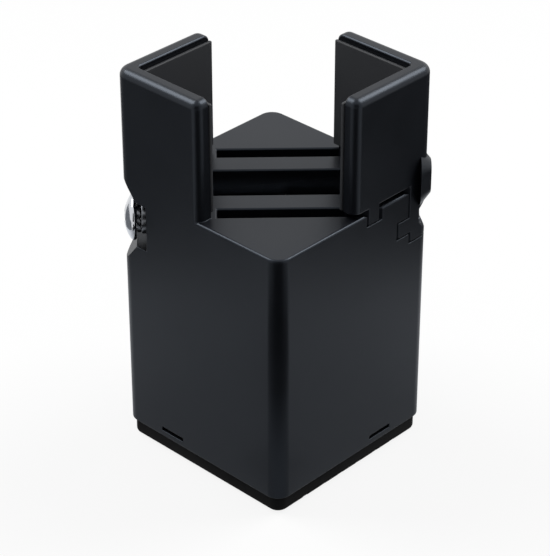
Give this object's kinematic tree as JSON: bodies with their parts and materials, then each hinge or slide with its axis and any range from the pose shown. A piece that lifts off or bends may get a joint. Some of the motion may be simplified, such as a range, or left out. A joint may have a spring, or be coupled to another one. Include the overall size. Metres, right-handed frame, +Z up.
{
  "type": "bed riser",
  "caption": "Square screw-clamp furniture riser with a fixed and a sliding corner jaw that grip a leg standing on its deck.",
  "frame": {"origin": "on the floor, under the middle of the square housing", "axes": "+Z up; X and Y square to the housing's sides; the screw and the sliding jaw run along the X-Y diagonal, with the fixed jaw at the -X -Y corner"},
  "size_m": [0.0801, 0.0801, 0.1456],
  "materials": {
    "body_plastic": "black moulded ABS, satin with a fine spark texture",
    "cover_plastic": "black moulded plastic, plain",
    "liner_rubber": "black anti-slip rubber, matt",
    "screw_chrome": "bright chrome plate on a steel screw",
    "washer_steel": "zinc plated spring steel",
    "nut_steel": "zinc plated steel",
    "foot_rubber": "black rubber, matt, with a shallow tread underneath"
  },
  "bodies": {
    "base": {"housing": "body_plastic", "fixed_liner": "liner_rubber", "plain_washer": "washer_steel", "base_cover": "cover_plastic", "foot_pad": "foot_rubber"},
    "jaw": {"sliding_jaw": "body_plastic", "sliding_liner": "liner_rubber", "runner_nut": "nut_steel"},
    "screw": {"clamp_screw": "screw_chrome", "lock_washer": "washer_steel"}
  },
  "joints": [
    {"name": "jaw_slide", "type": "slide", "parent": "base", "child": "jaw", "axis": [-0.7071, -0.7071, 0], "range_m": [0, 0.0385]},
    {"name": "screw_turn", "type": "hinge", "parent": "base", "child": "screw", "pos_m": [0, 0, 0.0889], "axis": [0.7071, 0.7071, 0], "range_deg": [0, 13870]}
  ],
  "couplings": [
    {"joint": "screw_turn", "follows": "jaw_slide", "rad_per_m": 6283.2}
  ]
}
